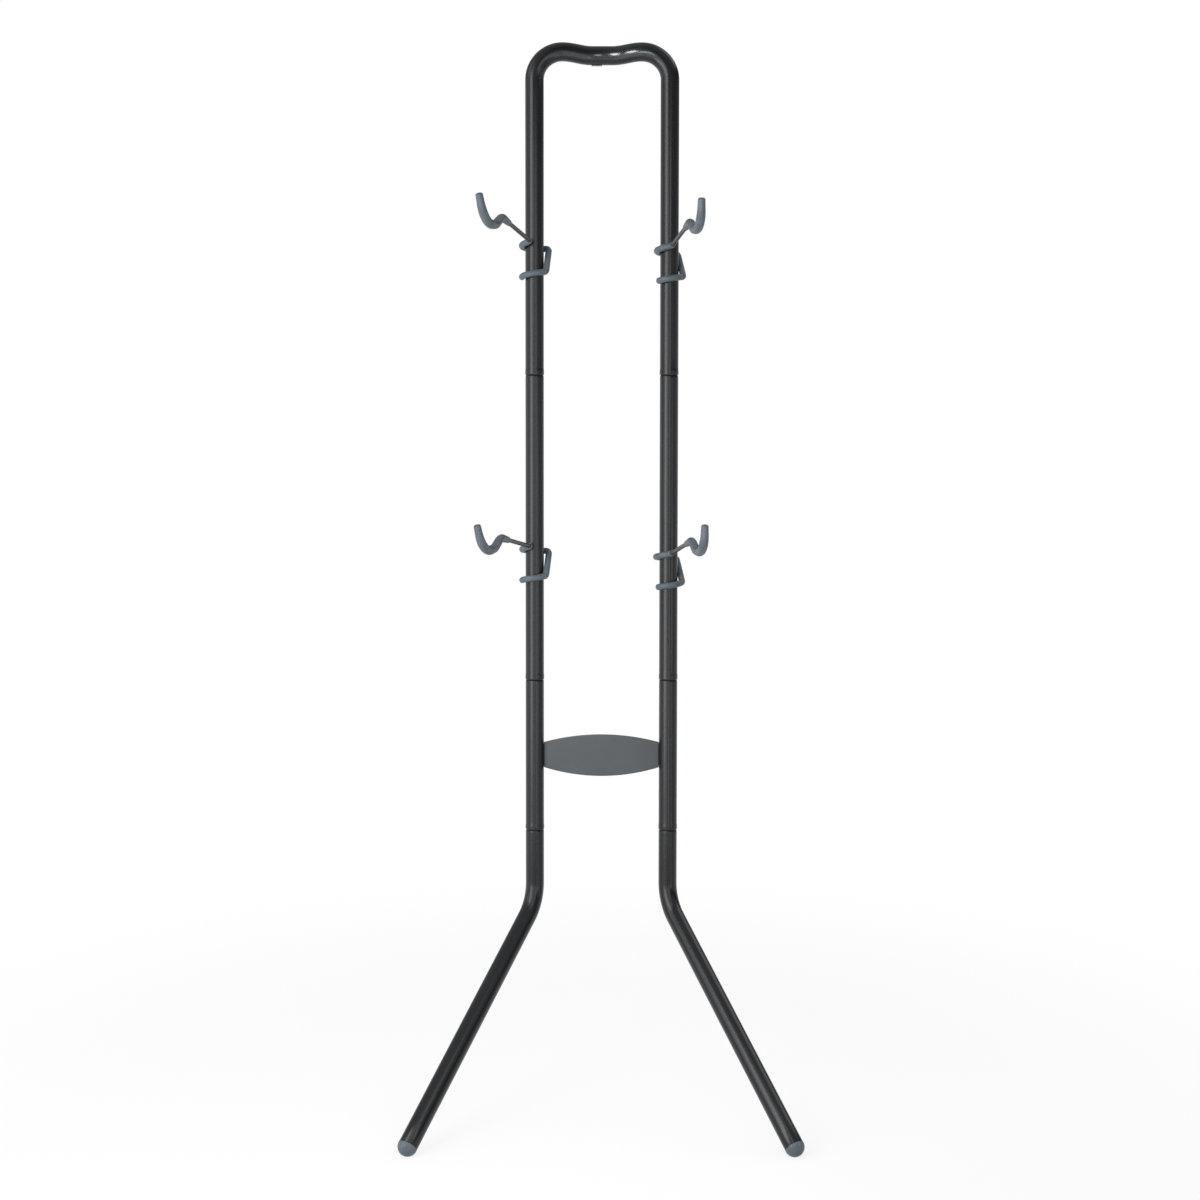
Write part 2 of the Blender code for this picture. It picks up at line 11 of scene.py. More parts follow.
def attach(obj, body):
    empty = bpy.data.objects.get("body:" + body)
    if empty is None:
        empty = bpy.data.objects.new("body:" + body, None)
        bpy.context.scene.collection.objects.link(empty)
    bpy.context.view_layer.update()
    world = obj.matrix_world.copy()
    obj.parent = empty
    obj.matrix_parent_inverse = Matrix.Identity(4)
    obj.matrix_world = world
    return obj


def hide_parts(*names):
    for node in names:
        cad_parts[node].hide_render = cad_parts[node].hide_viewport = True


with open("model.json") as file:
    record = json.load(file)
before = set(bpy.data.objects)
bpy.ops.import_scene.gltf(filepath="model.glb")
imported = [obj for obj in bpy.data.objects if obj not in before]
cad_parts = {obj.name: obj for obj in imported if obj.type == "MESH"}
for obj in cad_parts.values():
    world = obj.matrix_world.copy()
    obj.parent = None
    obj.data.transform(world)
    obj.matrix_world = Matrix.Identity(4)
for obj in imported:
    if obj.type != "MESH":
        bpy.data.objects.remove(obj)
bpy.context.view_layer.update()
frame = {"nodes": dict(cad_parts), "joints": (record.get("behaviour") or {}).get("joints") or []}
print("frame loaded:", len(frame["nodes"]), "nodes")

# The swivels lie on the uprights' axes, where the straight tubes stand on the short ones.
leftSwivel = next(joint for joint in frame["joints"] if joint["name"] == "left_swivel")
lean = atan2(leftSwivel["axis"][1], leftSwivel["axis"][2])
halfSpacing = abs(leftSwivel["pos_m"][0])
swivelPlace = Vector((0, *leftSwivel["pos_m"][1:]))

# Upright coordinates: X across, Z up along the tubes from the middle joint, Y towards the wall.
fromUpright = Matrix.Translation(swivelPlace) @ Matrix.Rotation(-lean, 4, "X")
sides = {"left": -1, "right": 1}

stock = {
    "tubeRadius": 0.019,
    "tubeWall": 0.0015,
    "gap": 0.0003,  # left between pieces that touch
    "tubeSides": 64,
    "bendStep": radians(3),
    "leastStep": 0.00005,  # points nearer than this become one
    "pole": 0.000002,  # radius of a ring that the merge draws to a point
    "merge": 0.00001,
    "sharpAngle": radians(40),
    "edgeSegments": 3,
}


def srgb(red, green, blue):
    # A colour read off a screen, 0 to 255, as Blender's linear values.
    return tuple((c / 255 / 12.92) if c < 10.3 else ((c / 255 + 0.055) / 1.055) ** 2.4
                 for c in (red, green, blue))


# Node building

class Wire:
    # A node's output. A sum written on it adds Math nodes.
    def __init__(self, recipe, socket):
        self.recipe = recipe
        self.socket = socket

    def maths(self, operation, *values):
        return self.recipe.node("ShaderNodeMath", {"operation": operation}, dict(enumerate(values)))

    def __add__(self, other):
        return self.maths("ADD", self, other)

    __radd__ = __add__

    def __sub__(self, other):
        return self.maths("SUBTRACT", self, other)

    def __rsub__(self, other):
        return self.maths("SUBTRACT", other, self)

    def __mul__(self, other):
        return self.maths("MULTIPLY", self, other)

    __rmul__ = __mul__

    def __truediv__(self, other):
        return self.maths("DIVIDE", self, other)

    def __rtruediv__(self, other):
        return self.maths("DIVIDE", other, self)

    def __pow__(self, other):
        return self.maths("POWER", self, other)

    def __rpow__(self, other):
        return self.maths("POWER", other, self)

    def __neg__(self):
        return self.maths("MULTIPLY", self, -1)


class Recipe:
    # A node tree being written, for a material, the world or a shape.
    def __init__(self, tree):
        self.tree = tree

    def node(self, kind, settings=None, inputs=None, output=0):
        made = self.tree.nodes.new(kind)
        for name, value in (settings or {}).items():
            if name == "stops":
                self.setStops(made.color_ramp, value)
            else:
                setattr(made, name, value)
        for name, value in (inputs or {}).items():
            for one in value if isinstance(value, list) else [value]:
                self.feed(made.inputs[name], one)
        return Wire(self, made.outputs[output]) if made.outputs else made

    def feed(self, socket, value):
        if isinstance(value, Wire):
            self.tree.links.new(value.socket, socket)
        elif socket.type == "RGBA":
            socket.default_value = (*value, 1)
        else:
            socket.default_value = value

    def setStops(self, ramp, stops):
        while len(ramp.elements) < len(stops):
            ramp.elements.new(1)
        for element, (place, colour) in zip(ramp.elements, stops):
            element.position = place
            element.color = (*colour, 1)

    def mixColour(self, share, first, second):
        return self.node("ShaderNodeMix", {"data_type": "RGBA"}, {0: share, 6: first, 7: second},
                         output=2)

    def noise(self, where, scale, detail, roughness=0.5):
        return self.node("ShaderNodeTexNoise", {},
                         {"Vector": where, "Scale": scale, "Detail": detail, "Roughness": roughness})

    def smooth(self, value, low, high):
        return self.node("ShaderNodeMapRange", {"interpolation_type": "SMOOTHSTEP"},
                         {"Value": value, "From Min": low, "From Max": high})

    def split(self, vector):
        first = self.node("ShaderNodeSeparateXYZ", {}, {"Vector": vector})
        return [Wire(self, socket) for socket in first.socket.node.outputs]


def startShape(name, asked):
    # asked: each input's name and kind
    tree = bpy.data.node_groups.new(name, "GeometryNodeTree")
    recipe = Recipe(tree)
    tree.interface.new_socket("Geometry", in_out="OUTPUT", socket_type="NodeSocketGeometry")
    for label, kind in {**asked, "Finish": "Material"}.items():
        tree.interface.new_socket(label, in_out="INPUT", socket_type="NodeSocket" + kind)
    recipe.asked = recipe.node("NodeGroupInput").socket.node
    return recipe


def answer(recipe, name):
    return Wire(recipe, recipe.asked.outputs[name])


def endShape(recipe, geometry):
    # Every shape ends so: instances made real, then its material set.
    real = recipe.node("GeometryNodeRealizeInstances", {}, {"Geometry": geometry})
    finished = recipe.node("GeometryNodeSetMaterial", {},
                           {"Geometry": real, "Material": answer(recipe, "Finish")})
    recipe.node("NodeGroupOutput", {}, {"Geometry": finished})
    return recipe.tree


def endLayers(recipe, layers):
    # Ends a shape whose layers merge where their edges meet.
    joined = recipe.node("GeometryNodeJoinGeometry", {}, {"Geometry": layers})
    return endShape(recipe, recipe.node("GeometryNodeMergeByDistance", {},
                                        {"Geometry": joined, "Distance": answer(recipe, "Merge")}))


def addObject(name, data):
    made = bpy.data.objects.new(name, data)
    bpy.context.scene.collection.objects.link(made)
    return made


def keepMesh(holder):
    # The mesh that an object's modifiers make. The object itself goes.
    evaluated = holder.evaluated_get(bpy.context.evaluated_depsgraph_get())
    mesh = bpy.data.meshes.new_from_object(evaluated)
    mesh.name = holder.name
    bpy.data.objects.remove(holder)
    mesh.shade_smooth()
    mesh.set_sharp_from_angle(angle=stock["sharpAngle"])
    return mesh


def plainMesh(name, tree, values):
    # Runs a shape tree on an empty object.
    holder = addObject(name, bpy.data.meshes.new(name))
    modifier = holder.modifiers.new("shape", "NODES")
    modifier.node_group = tree
    for item in tree.interface.items_tree:
        if item.in_out == "INPUT" and item.name in values:
            modifier[item.identifier] = values[item.name]
    return keepMesh(holder)


def softenEdges(mesh, width, over):
    # Bevels the edges that turn by more than over.
    holder = addObject(mesh.name, mesh)
    bevel = holder.modifiers.new("edges", "BEVEL")
    bevel.width = width
    bevel.segments = stock["edgeSegments"]
    bevel.limit_method = "ANGLE"
    bevel.angle_limit = over
    return keepMesh(holder)


def addPiece(name, mesh, body, nodes):
    piece = addObject(name, mesh)
    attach(piece, body)
    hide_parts(*nodes)


# Materials. Every pattern reads Object coordinates, or the distance and angle kept along a sweep.
# A noise is (scale, detail, roughness), a range is where a noise starts to show and shows fully,
# and a depth is a bump's height in metres.

def startMaterial(name):
    material = bpy.data.materials.new(name)
    material.use_nodes = True
    material.node_tree.nodes.clear()
    recipe = Recipe(material.node_tree)
    where = recipe.node("ShaderNodeTexCoord", output=3)
    return material, recipe, where


def sweepValue(recipe, name):
    # A number that the sweep keeps: around its girth or along its length, 0 to 1
    return recipe.node("ShaderNodeAttribute", {"attribute_name": name}, {}, output=2)


def finishMaterial(recipe, look, colour, rough, bumps):
    # bumps: (height, depth) pairs, laid one on another
    normal = None
    for height, depth in bumps:
        inputs = {"Height": height, "Distance": depth}
        if normal is not None:
            inputs["Normal"] = normal
        normal = recipe.node("ShaderNodeBump", {}, inputs)
    shader = recipe.node("ShaderNodeBsdfPrincipled", {}, {
        "Base Color": colour, "Roughness": rough, "Metallic": look["metal"],
        "Specular IOR Level": look["gloss"], "Normal": normal,
    })
    recipe.node("ShaderNodeOutputMaterial", {}, {"Surface": shader})


powderCoat = {
    "colour": srgb(14, 17, 19),
    "paleColour": srgb(20, 24, 26),
    "dust": srgb(42, 47, 49),
    "dustRange": (0.66, 0.80),
    "dustShare": 0.2,
    "roughness": 0.25,
    "cloudRoughness": 0.06,
    "handledRoughness": 0.06,
    "grainRoughness": 0.03,
    "gloss": 0.36,
    "metal": 0.0,
    "cloud": (9, 4),
    "handledStretch": (60, 60, 3),
    "handled": (1, 5, 0.65),
    "handledRange": (0.52, 0.80),
    "peel": (260, 1),
    "peelDepth": 0.000006,
    "grain": (1500, 2),
    "grainDepth": 0.0000008,
}


def makePowderCoat(name, look):
    material, recipe, where = startMaterial(name)
    cloud, peel, grain = (recipe.noise(where, *look[key]) for key in ("cloud", "peel", "grain"))
    stretched = recipe.node("ShaderNodeMapping", {}, {"Vector": where, "Scale": look["handledStretch"]})
    handled = recipe.smooth(recipe.noise(stretched, *look["handled"]), *look["handledRange"])
    colour = recipe.mixColour(cloud, look["colour"], look["paleColour"])
    dusted = recipe.smooth(grain, *look["dustRange"]) * look["dustShare"]
    colour = recipe.mixColour(dusted, colour, look["dust"])
    rough = look["roughness"] + (cloud - 0.5) * look["cloudRoughness"]
    rough = rough + handled * look["handledRoughness"] + (grain - 0.5) * look["grainRoughness"]
    bumps = [(peel, look["peelDepth"]), (grain, look["grainDepth"])]
    finishMaterial(recipe, look, colour, rough, bumps)
    return material


def speckledTones(recipe, where, look):
    # Two tones in soft clouds with fine specks over them, and the roughness that goes with them
    cloud = recipe.noise(where, *look["cloud"])
    speck = recipe.noise(where, *look["speck"])
    clouded = recipe.smooth(cloud, *look["cloudRange"])
    colour = recipe.mixColour(clouded, look["deepColour"], look["colour"])
    specked = recipe.smooth(speck, *look["speckRange"]) * look["speckShare"]
    colour = recipe.mixColour(specked, colour, look["speckColour"])
    rough = look["roughness"] + (cloud - 0.5) * look["cloudRoughness"]
    return colour, rough + (speck - 0.5) * look["speckRoughness"]


sleeveVinyl = {
    "colour": srgb(80, 89, 96),
    "deepColour": srgb(69, 77, 84),
    "speckColour": srgb(106, 116, 124),
    "cloudRange": (0.3, 0.7),
    "speckRange": (0.62, 0.78),
    "speckShare": 0.35,
    "roughness": 0.44,
    "cloudRoughness": 0.16,
    "speckRoughness": 0.06,
    "gloss": 0.33,
    "metal": 0.0,
    "cloud": (38, 4),
    "skin": (650, 3),
    "skinDepth": 0.00006,
    "speck": (2600, 1),
    # two mould lines run the sleeve's length, a quarter turn each side of its underside
    "partingPlaces": (0.25, 0.75),
    "partingEdge": (0.004, 0.016),
    "partingShare": 0.25,
    "partingDepth": 0.00025,
}
footRubber = {**sleeveVinyl, "colour": srgb(87, 97, 106), "deepColour": srgb(76, 85, 93)}
padRubber = {**sleeveVinyl, "colour": srgb(86, 90, 92), "deepColour": srgb(76, 80, 82)}


def makeVinyl(name, look):
    material, recipe, where = startMaterial(name)
    colour, rough = speckledTones(recipe, where, look)
    skin = recipe.noise(where, *look["skin"])
    around = sweepValue(recipe, "around")
    offLine = around.maths("MINIMUM", *(around.maths("ABSOLUTE", around - place)
                                        for place in look["partingPlaces"]))
    parting = 1 - recipe.smooth(offLine, *look["partingEdge"])
    colour = recipe.mixColour(parting * look["partingShare"], colour, look["speckColour"])
    bumps = [(skin, look["skinDepth"]), (parting, look["partingDepth"])]
    finishMaterial(recipe, look, colour, rough, bumps)
    return material


rodSteel = {
    "colour": srgb(85, 85, 84),
    "darkColour": srgb(61, 61, 62),
    "drawnRange": (0.3, 0.7),
    "cloudRange": (0.5, 0.8),
    "cloudShare": 0.4,
    "roughness": 0.40,
    "drawnRoughness": 0.2,
    "gloss": 0.5,
    "metal": 0.55,
    "wrap": 8,  # how fine the drawn lines are, round the rod
    "run": 40,  # and along it
    "drawn": (5, 3, 0.6),
    "drawnDepth": 0.00003,
    "cloud": (70, 3),
}


def makeRodSteel(name, look):
    # Dark drawn wire, with fine lines along it
    material, recipe, where = startMaterial(name)
    turn = sweepValue(recipe, "around") * (2 * pi)
    wrap = recipe.node("ShaderNodeCombineXYZ", {}, {
        "X": turn.maths("COSINE", turn) * look["wrap"],
        "Y": turn.maths("SINE", turn) * look["wrap"],
        "Z": sweepValue(recipe, "along") * look["run"],
    })
    drawn = recipe.noise(wrap, *look["drawn"])
    cloud = recipe.noise(where, *look["cloud"])
    lined = recipe.smooth(drawn, *look["drawnRange"])
    colour = recipe.mixColour(lined, look["darkColour"], look["colour"])
    clouded = recipe.smooth(cloud, *look["cloudRange"]) * look["cloudShare"]
    colour = recipe.mixColour(clouded, colour, look["darkColour"])
    rough = look["roughness"] + (drawn - 0.5) * look["drawnRoughness"]
    finishMaterial(recipe, look, colour, rough, [(drawn, look["drawnDepth"])])
    return material


platePaint = {
    "colour": srgb(69, 73, 76),
    "deepColour": srgb(63, 67, 70),
    "speckColour": srgb(63, 67, 70),
    "cloudRange": (0.25, 0.75),
    "speckRange": (0.64, 0.80),
    "speckShare": 0.3,
    "roughness": 0.40,
    "cloudRoughness": 0.12,
    "speckRoughness": 0.06,
    "gloss": 0.36,
    "metal": 0.0,
    "cloud": (14, 4),
    "peel": (380, 2),
    "peelDepth": 0.00005,
    "speck": (2200, 1),
}


def makePlatePaint(name, look):
    material, recipe, where = startMaterial(name)
    colour, rough = speckledTones(recipe, where, look)
    peel = recipe.noise(where, *look["peel"])
    finishMaterial(recipe, look, colour, rough, [(peel, look["peelDepth"])])
    return material


# Sweeps: tubes, rods, sleeves and caps all follow a path, with a radius kept at each point.

def keepValue(recipe, curve, name, value):
    return recipe.node("GeometryNodeStoreNamedAttribute", {"data_type": "FLOAT", "domain": "POINT"},
                       {"Geometry": curve, "Name": name, "Value": value})


def makeSweep():
    recipe = startShape("sweptSkin", {"Skin Path": "Object", "Bore Path": "Object", "Sides": "Int",
                                      "Merge": "Float"})
    circle = recipe.node("GeometryNodeCurvePrimitiveCircle", {"mode": "RADIUS"},
                         {"Resolution": answer(recipe, "Sides"), "Radius": 1.0})
    circle = keepValue(recipe, circle, "around", recipe.node("GeometryNodeSplineParameter"))
    radius = recipe.node("GeometryNodeInputRadius")
    reach = recipe.node("GeometryNodeSplineParameter", output=1)
    layers = []
    for path in ("Skin Path", "Bore Path"):
        curve = recipe.node("GeometryNodeObjectInfo", {}, {"Object": answer(recipe, path)}, output=4)
        layers.append(recipe.node("GeometryNodeCurveToMesh", {}, {
            "Curve": keepValue(recipe, curve, "along", reach), "Profile Curve": circle, "Scale": radius,
        }))
    layers[1] = recipe.node("GeometryNodeFlipFaces", {}, {"Mesh": layers[1]})
    return endLayers(recipe, layers)


def pathCurve(name, points, radii):
    curve = bpy.data.curves.new(name, "CURVE")
    curve.dimensions = "3D"
    spline = curve.splines.new("POLY")
    spline.points.add(len(points) - 1)
    for point, place, radius in zip(spline.points, points, radii):
        point.co = (*place, 1)
        point.radius = radius
    return addObject(name, curve)


def sweptMesh(name, finish, faces, skin, bore=None):
    # skin and bore are (points, radii)
    paths = [pathCurve(name + "_skin", *skin)]
    values = {"Skin Path": paths[0], "Sides": faces, "Merge": stock["merge"], "Finish": finish}
    if bore:
        paths.append(pathCurve(name + "_bore", *bore))
        values["Bore Path"] = paths[1]
    mesh = plainMesh(name, sweptSkin, values)
    for path in paths:
        bpy.data.objects.remove(path)
    return mesh


def roundCorners(corners, step):
    # corners are (point, radius) pairs; each bend becomes an arc
    points = [corners[0][0]]
    for (before, _), (corner, radius), (after, _) in zip(corners, corners[1:], corners[2:]):
        inward = (corner - before).normalized()
        outward = (after - corner).normalized()
        turn = inward.angle(outward)
        axis = inward.cross(outward).normalized()
        spoke = inward.cross(axis) * radius
        centre = corner - inward * radius * tan(turn / 2) - spoke
        count = ceil(turn / step)
        points += [centre + Quaternion(axis, turn * i / count) @ spoke for i in range(count + 1)]
    return points + [corners[-1][0]]


def lengthsAlong(points):
    total = [0.0]
    for a, b in zip(points, points[1:]):
        total.append(total[-1] + (b - a).length)
    return total


def between(value, table):
    # Smooth steps between a table's (place, size) rows
    for (a, low), (b, high) in zip(table, table[1:]):
        if value <= b:
            share = max(0.0, (value - a) / (b - a))
            return low + (high - low) * share * share * (3 - 2 * share)
    return table[-1][1]


def withMarks(points, marks):
    # Adds a point at each distance from the path's start
    reach = lengthsAlong(points)
    places = sorted(set(reach) | {mark for mark in marks if 0 < mark < reach[-1]})
    kept = [places[0]]
    for place in places[1:]:
        if place - kept[-1] > stock["leastStep"]:
            kept.append(place)
    kept[-1] = reach[-1]
    made = []
    i = 0
    for place in kept:
        while i < len(reach) - 2 and reach[i + 1] < place:
            i += 1
        share = (place - reach[i]) / (reach[i + 1] - reach[i])
        made.append(points[i].lerp(points[i + 1], share))
    return made, kept


def fineMarks(table, parts=4):
    # The table's own places, each gap cut in equal parts
    places = []
    for (a, _), (b, _) in zip(table, table[1:]):
        places += [a + (b - a) * i / parts for i in range(parts)]
    return places + [table[-1][0]]


sweptSkin = makeSweep()
print("shape trees ready")


# Tubes. Distances run from a tube's end; a spigot is the narrowed end that goes up into the next tube.

tubes = {
    "shortTube": 0.314,
    "straightTube": 0.630,
    "stub": 0.152,  # leg's bend corner to the lowest joint
    "archHeight": 0.6585,
    "archCornerRadius": 0.057,
    "archDip": 0.0078,
    "archDipFloor": 0.040,  # length of the dip's level bottom
    "barPoints": 72,
    "legSplay": 0.230,
    "legReach": 0.410,
    "legDrop": 0.369,
    "legBendRadius": 0.090,
    "spigotLength": 0.038,
    "spigotSlack": 0.0001,
    "spigotLead": (0.003, 0.0008),  # length, and how much narrower the tip is
    # shoulder from the spigot to the full tube: distance past the joint, depth under the full tube
    "shoulderStart": -0.0004,
    "shoulderRows": [(0.0006, 0.0013), (0.0014, 0.0004), (0.0030, 0.0)],
    # lower lip: distance from its end, height over the plain tube
    "lipRows": [(0.0, -0.0009), (0.00035, -0.00035), (0.0010, 0.0), (0.0022, 0.0005),
                (0.0084, 0.0005), (0.0140, 0.0)],
    "cutRound": 0.0005,  # leg's lower end
    "rimDepth": 0.0004,  # rounded rim between the outside and the bore
    "longestStep": 0.045,
}
boreRadius = stock["tubeRadius"] - stock["tubeWall"]
spigotRadius = boreRadius - stock["gap"] - tubes["spigotSlack"]
jointOne = tubes["straightTube"]
jointThree = -tubes["shortTube"]
legCorner = jointThree - tubes["stub"]
highBar = jointOne + tubes["archHeight"]


def spigotTable():
    # Outer radius from the spigot's tip down to the full tube
    lead, narrower = tubes["spigotLead"]
    joint = tubes["spigotLength"]
    rows = [(0.0, spigotRadius - narrower), (lead, spigotRadius),
            (joint + tubes["shoulderStart"], spigotRadius)]
    return rows + [(joint + past, stock["tubeRadius"] - under) for past, under in tubes["shoulderRows"]]


def lipTable():
    # Outer radius from a tube's lower lip up to the plain tube
    return [(place, stock["tubeRadius"] + over) for place, over in tubes["lipRows"]]


def cutTable():
    cut = tubes["cutRound"]
    return [(0.0, stock["tubeRadius"] - cut), (cut, stock["tubeRadius"])]


def tubeMesh(name, points, headTable, footTable):
    # Points run from the tube's head to its foot.
    total = lengthsAlong(points)[-1]
    rim = tubes["rimDepth"]
    marks = fineMarks(headTable) + [total - mark for mark in fineMarks(footTable)]
    steps = ceil(total / tubes["longestStep"])
    marks += [total * i / steps for i in range(1, steps)] + [rim, total - rim]
    points, places = withMarks(points, marks)
    skin = []
    bore = []
    for place in places:
        outer = between(place, headTable) if place < total / 2 else between(total - place, footTable)
        inner = outer - stock["tubeWall"]
        share = min(1.0, min(place, total - place) / rim)
        skin.append(outer)
        bore.append(outer + (inner - outer) * sqrt(share))
    return sweptMesh(name, charcoal, stock["tubeSides"], (points, skin), (points, bore))


def barHeight(x):
    # Top bar's centreline: level shoulders and a soft dip with a level bottom
    side = halfSpacing - tubes["archCornerRadius"] - tubes["archDipFloor"] / 2
    turn = pi * max(0.0, abs(x) - tubes["archDipFloor"] / 2) / side
    return highBar - tubes["archDip"] * (1 + cos(turn)) / 2


def archPath():
    flat = halfSpacing - tubes["archCornerRadius"]
    foot = Vector((-halfSpacing, 0, jointOne + stock["gap"] / 2))
    corner = Vector((-halfSpacing, 0, highBar))
    shoulder = Vector((-flat, 0, highBar))
    left = roundCorners([(foot, 0), (corner, tubes["archCornerRadius"]), (shoulder, 0)], stock["bendStep"])
    bar = []
    for i in range(1, tubes["barPoints"]):
        x = flat * (2 * i / tubes["barPoints"] - 1)
        bar.append(Vector((x, 0, barHeight(x))))
    right = [Vector((-point.x, point.y, point.z)) for point in reversed(left[:-1])]
    return left[:-1] + bar + right


def straightPath(top, foot):
    return [Vector((0, 0, top + tubes["spigotLength"])), Vector((0, 0, foot + stock["gap"] / 2))]


def legPath(side):
    foot = Vector((side * tubes["legSplay"], -tubes["legReach"], -tubes["legDrop"]))
    foot.rotate(Quaternion((1, 0, 0), lean))
    start = Vector((0, 0, tubes["stub"] + tubes["spigotLength"]))
    path = roundCorners([(start, 0), (Vector(), tubes["legBendRadius"]), (foot, 0)], stock["bendStep"])
    return [point + Vector((0, 0, legCorner)) for point in path]


def placed(mesh, x=0.0, turn=None):
    # Moves a mesh from an upright's own axis to its place.
    move = fromUpright @ Matrix.Translation((x, 0, 0))
    if turn is not None:
        move = move @ turn
    mesh.transform(move)
    return mesh


def addTubes():
    arch = placed(tubeMesh("topArch", archPath(), lipTable(), lipTable()))
    addPiece("topArchTube", arch, "stand", ["top_arch"])
    for word, side in sides.items():
        for part, node, path, foot, body in (
            ("StraightTube", "straight_tube_", straightPath(jointOne, 0), lipTable(), word + "_straight"),
            ("ShortTube", "short_tube_", straightPath(0, jointThree), lipTable(), "stand"),
            ("LegTube", "leg_", legPath(side), cutTable(), "stand"),
        ):
            tube = placed(tubeMesh(node + word, path, spigotTable(), foot), side * halfSpacing)
            addPiece(word + part, tube, body, [node + word])


# Foot caps: a plug in the leg's end and a domed head, worn flat where it stands

footCap = {
    "headRadius": 0.0194,
    "rimRound": 0.0006,
    # rounded rim under the head: distance past the leg's end, depth under the head's radius
    "rimRows": [(0.0001, 0.00096), (0.0002, 0.00042), (0.0006, 0.00003)],
    "plugLength": 0.020,
    "plugFace": 0.0001,
    "plugLead": (0.0025, 0.00125),  # length, and how much narrower the tip is
    "domePoints": 22,
    "sides": 64,
}


def capMesh(name, side):
    path = legPath(side)
    end = path[-1]
    way = (end - path[-2]).normalized()
    head = footCap["headRadius"]
    plug = boreRadius - stock["gap"]
    tip = -footCap["plugLength"]
    lead, narrower = footCap["plugLead"]
    rows = [(tip, stock["pole"]), (tip + footCap["plugFace"], plug - narrower), (tip + lead, plug),
            (stock["gap"], plug)]
    rows += [(stock["gap"] + past, head - under) for past, under in footCap["rimRows"]]
    rim = asin(footCap["rimRound"] / head)
    for i in range(1, footCap["domePoints"] + 1):
        lift = rim + (pi / 2 - rim) * i / footCap["domePoints"]
        rows.append((stock["gap"] + head * sin(lift), max(head * cos(lift), stock["pole"])))
    points = [end + way * place for place, _ in rows]
    skin = points, [radius for _, radius in rows]
    mesh = placed(sweptMesh(name, capRubber, footCap["sides"], skin), side * halfSpacing)
    for vertex in mesh.vertices:
        vertex.co.z = max(vertex.co.z, 0.0)
    mesh.update()
    mesh.set_sharp_from_angle(angle=stock["sharpAngle"])
    return mesh


def addFootCaps():
    for word, side in sides.items():
        addPiece(word + "FootCap", capMesh("cap_" + word, side), "stand",
                 ["foot_cap_" + word])


# Brace plate: a grid bowed forward, with its top and bottom edges drawn to arcs

bracePlate = {
    "middleHeight": 0.087,
    "endHeight": 0.053,
    "thickness": 0.003,
    "bow": 0.009,
    "columns": 96,
    "rows": 24,
    "edgeRound": 0.0009,
    "edgeAngle": radians(50),
}


def makeBowedPlate():
    recipe = startShape("bowedPlate", {
        "Half Length": "Float", "Middle Height": "Float", "End Height": "Float", "Bow": "Float",
        "Thickness": "Float", "Columns": "Int", "Rows": "Int", "Merge": "Float",
    })
    half = answer(recipe, "Half Length")
    rise = (answer(recipe, "Middle Height") - answer(recipe, "End Height")) / 2
    arcRadius = (half * half + rise * rise) / (2 * rise)
    grid = recipe.node("GeometryNodeMeshGrid", {}, {
        "Size X": 2.0, "Size Y": 2.0,
        "Vertices X": answer(recipe, "Columns"), "Vertices Y": answer(recipe, "Rows"),
    })
    across, upward, _ = recipe.split(recipe.node("GeometryNodeInputPosition"))
    x = across * half
    edge = answer(recipe, "Middle Height") / 2 - arcRadius + (arcRadius * arcRadius - x * x) ** 0.5
    front = (1 - across * across) * answer(recipe, "Bow") * -1
    spot = recipe.node("ShaderNodeCombineXYZ", {}, {"X": x, "Y": front, "Z": upward * edge})
    sheet = recipe.node("GeometryNodeSetPosition", {}, {"Geometry": grid, "Position": spot})
    depth = answer(recipe, "Thickness")
    back = recipe.node("ShaderNodeCombineXYZ", {}, {"Y": depth / 2})
    ahead = recipe.node("ShaderNodeCombineXYZ", {}, {"Y": -depth})
    backSheet = recipe.node("GeometryNodeSetPosition", {}, {"Geometry": sheet, "Offset": back})
    frontSheet = recipe.node("GeometryNodeExtrudeMesh", {"mode": "FACES"},
                             {"Mesh": backSheet, "Offset": ahead, "Offset Scale": 1.0, "Individual": False})
    return endLayers(recipe, [frontSheet, backSheet])


def faceOut(mesh):
    bm = bmesh.new()
    bm.from_mesh(mesh)
    bmesh.ops.recalc_face_normals(bm, faces=bm.faces)
    bm.to_mesh(mesh)
    bm.free()
    return mesh


def addBracePlate():
    halfLength = halfSpacing - stock["tubeRadius"] - stock["gap"]
    mesh = plainMesh("plate", makeBowedPlate(), {
        "Half Length": halfLength,
        "Middle Height": bracePlate["middleHeight"],
        "End Height": bracePlate["endHeight"],
        "Bow": bracePlate["bow"],
        "Thickness": bracePlate["thickness"],
        "Columns": bracePlate["columns"],
        "Rows": bracePlate["rows"],
        "Merge": stock["merge"],
        "Finish": plateGrey,
    })
    mesh = softenEdges(faceOut(mesh), bracePlate["edgeRound"], bracePlate["edgeAngle"])
    mesh.transform(Matrix.Translation((0, 0, jointThree / 2)))
    addPiece("bracePlateSheet", placed(mesh), "stand", ["brace_plate"])


# Weld beads: overlapped ripples in the corner between the plate's back and each short tube

weldBead = {
    "offCorner": (0.00081, 0.00099),  # bead's middle from the corner, along the plate and behind it
    "setback": 0.003,
    "ripplePitch": 0.0021,
    "rippleSize": (0.0030, 0.0030, 0.0024),
    "rippleTurn": 0.25,
    "rippleFaces": (16, 10),
    "seed": 7,
}


